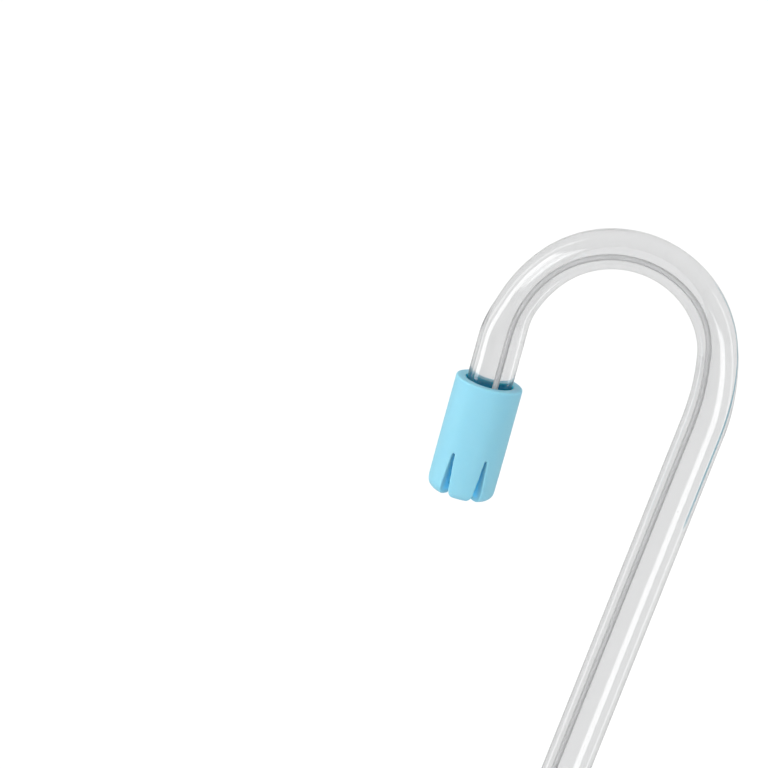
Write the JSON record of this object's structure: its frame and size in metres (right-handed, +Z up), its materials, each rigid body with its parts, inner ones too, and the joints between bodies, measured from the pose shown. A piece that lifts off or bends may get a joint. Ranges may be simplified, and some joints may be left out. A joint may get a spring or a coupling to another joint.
{
  "type": "saliva ejector tip",
  "caption": "Disposable dental saliva ejector: clear bendable suction tube with a wire in its wall, bent into a hook, and a soft slotted pull-off tip.",
  "frame": {"origin": "centre of the tube's suction end face, on the leg's axis", "axes": "+Z up the straight leg towards the hook; the hook bends over toward -X in the XZ plane, with the tip pointing down; +Y is behind the hook"},
  "size_m": [0.0381, 0.0096, 0.0973],
  "materials": {
    "clear_tube": "gloss",
    "wire": "satin",
    "soft_tip": "satin"
  },
  "bodies": {
    "leg": {"tube_leg": "clear_tube", "wire_leg": "wire"},
    "link_01": {"tube_link_01": "clear_tube", "wire_link_01": "wire"},
    "link_02": {"tube_link_02": "clear_tube", "wire_link_02": "wire"},
    "link_03": {"tube_link_03": "clear_tube", "wire_link_03": "wire"},
    "link_04": {"tube_link_04": "clear_tube", "wire_link_04": "wire"},
    "link_05": {"tube_link_05": "clear_tube", "wire_link_05": "wire"},
    "link_06": {"tube_link_06": "clear_tube", "wire_link_06": "wire"},
    "link_07": {"tube_link_07": "clear_tube", "wire_link_07": "wire"},
    "link_08": {"tube_link_08": "clear_tube", "wire_link_08": "wire"},
    "link_09": {"tube_link_09": "clear_tube", "wire_link_09": "wire"},
    "link_10": {"tube_link_10": "clear_tube", "wire_link_10": "wire"},
    "link_11": {"tube_link_11": "clear_tube", "wire_link_11": "wire"},
    "link_12": {"tube_link_12": "clear_tube", "wire_link_12": "wire"},
    "link_13": {"tube_link_13": "clear_tube", "wire_link_13": "wire"},
    "link_14": {"tube_link_14": "clear_tube", "wire_link_14": "wire"},
    "link_15": {"tube_link_15": "clear_tube", "wire_link_15": "wire"},
    "link_16": {"tube_link_16": "clear_tube", "wire_link_16": "wire"},
    "link_17": {"tube_link_17": "clear_tube", "wire_link_17": "wire"},
    "link_18": {"tube_link_18": "clear_tube", "wire_link_18": "wire"},
    "link_19": {"tube_link_19": "clear_tube", "wire_link_19": "wire"},
    "neck": {"tube_neck": "clear_tube", "wire_neck": "wire"},
    "tip": {"suction_tip": "soft_tip"}
  },
  "joints": [
    {"name": "bend_01", "type": "hinge", "parent": "leg", "child": "link_01", "pos_m": [-0.00174, 0, 0.07607], "axis": [0, 1, 0], "range_deg": [0, 9.3]},
    {"name": "bend_02", "type": "hinge", "parent": "link_01", "child": "link_02", "pos_m": [-0.0024, 0, 0.08113], "axis": [0, 1, 0], "range_deg": [0, 9.3]},
    {"name": "bend_03", "type": "hinge", "parent": "link_02", "child": "link_03", "pos_m": [-0.00339, 0, 0.08463], "axis": [0, 1, 0], "range_deg": [0, 9.3]},
    {"name": "bend_04", "type": "hinge", "parent": "link_03", "child": "link_04", "pos_m": [-0.00424, 0, 0.08662], "axis": [0, 1, 0], "range_deg": [0, 9.3]},
    {"name": "bend_05", "type": "hinge", "parent": "link_04", "child": "link_05", "pos_m": [-0.00542, 0, 0.08848], "axis": [0, 1, 0], "range_deg": [0, 9.3]},
    {"name": "bend_06", "type": "hinge", "parent": "link_05", "child": "link_06", "pos_m": [-0.0069, 0, 0.09015], "axis": [0, 1, 0], "range_deg": [0, 9.3]},
    {"name": "bend_07", "type": "hinge", "parent": "link_06", "child": "link_07", "pos_m": [-0.00875, 0, 0.09141], "axis": [0, 1, 0], "range_deg": [0, 9.3]},
    {"name": "bend_08", "type": "hinge", "parent": "link_07", "child": "link_08", "pos_m": [-0.01078, 0, 0.09236], "axis": [0, 1, 0], "range_deg": [0, 9.3]},
    {"name": "bend_09", "type": "hinge", "parent": "link_08", "child": "link_09", "pos_m": [-0.01294, 0, 0.09296], "axis": [0, 1, 0], "range_deg": [0, 9.3]},
    {"name": "bend_10", "type": "hinge", "parent": "link_09", "child": "link_10", "pos_m": [-0.01516, 0, 0.0932], "axis": [0, 1, 0], "range_deg": [0, 9.3]},
    {"name": "bend_11", "type": "hinge", "parent": "link_10", "child": "link_11", "pos_m": [-0.0174, 0, 0.09309], "axis": [0, 1, 0], "range_deg": [0, 9.3]},
    {"name": "bend_12", "type": "hinge", "parent": "link_11", "child": "link_12", "pos_m": [-0.01959, 0, 0.09261], "axis": [0, 1, 0], "range_deg": [0, 9.3]},
    {"name": "bend_13", "type": "hinge", "parent": "link_12", "child": "link_13", "pos_m": [-0.02167, 0, 0.09179], "axis": [0, 1, 0], "range_deg": [0, 9.3]},
    {"name": "bend_14", "type": "hinge", "parent": "link_13", "child": "link_14", "pos_m": [-0.02359, 0, 0.09064], "axis": [0, 1, 0], "range_deg": [0, 9.3]},
    {"name": "bend_15", "type": "hinge", "parent": "link_14", "child": "link_15", "pos_m": [-0.0253, 0, 0.08919], "axis": [0, 1, 0], "range_deg": [0, 9.3]},
    {"name": "bend_16", "type": "hinge", "parent": "link_15", "child": "link_16", "pos_m": [-0.02676, 0, 0.08749], "axis": [0, 1, 0], "range_deg": [0, 9.3]},
    {"name": "bend_17", "type": "hinge", "parent": "link_16", "child": "link_17", "pos_m": [-0.02805, 0, 0.08521], "axis": [0, 1, 0], "range_deg": [0, 9.3]},
    {"name": "bend_18", "type": "hinge", "parent": "link_17", "child": "link_18", "pos_m": [-0.02911, 0, 0.08242], "axis": [0, 1, 0], "range_deg": [0, 9.3]},
    {"name": "bend_19", "type": "hinge", "parent": "link_18", "child": "link_19", "pos_m": [-0.02969, 0, 0.0795], "axis": [0, 1, 0], "range_deg": [0, 9.3]},
    {"name": "bend_20", "type": "hinge", "parent": "link_19", "child": "neck", "pos_m": [-0.0298, 0, 0.07653], "axis": [0, 1, 0], "range_deg": [0, 9.3]},
    {"name": "tip_pull", "type": "slide", "parent": "neck", "child": "tip", "axis": [0.1045, 0, -0.9945], "range_m": [0, 0.015]}
  ],
  "couplings": [
    {"joint": "bend_02", "follows": "bend_01", "ratio": 1},
    {"joint": "bend_03", "follows": "bend_01", "ratio": 1},
    {"joint": "bend_04", "follows": "bend_01", "ratio": 1},
    {"joint": "bend_05", "follows": "bend_01", "ratio": 1},
    {"joint": "bend_06", "follows": "bend_01", "ratio": 1},
    {"joint": "bend_07", "follows": "bend_01", "ratio": 1},
    {"joint": "bend_08", "follows": "bend_01", "ratio": 1},
    {"joint": "bend_09", "follows": "bend_01", "ratio": 1},
    {"joint": "bend_10", "follows": "bend_01", "ratio": 1},
    {"joint": "bend_11", "follows": "bend_01", "ratio": 1},
    {"joint": "bend_12", "follows": "bend_01", "ratio": 1},
    {"joint": "bend_13", "follows": "bend_01", "ratio": 1},
    {"joint": "bend_14", "follows": "bend_01", "ratio": 1},
    {"joint": "bend_15", "follows": "bend_01", "ratio": 1},
    {"joint": "bend_16", "follows": "bend_01", "ratio": 1},
    {"joint": "bend_17", "follows": "bend_01", "ratio": 1},
    {"joint": "bend_18", "follows": "bend_01", "ratio": 1},
    {"joint": "bend_19", "follows": "bend_01", "ratio": 1},
    {"joint": "bend_20", "follows": "bend_01", "ratio": 1}
  ]
}
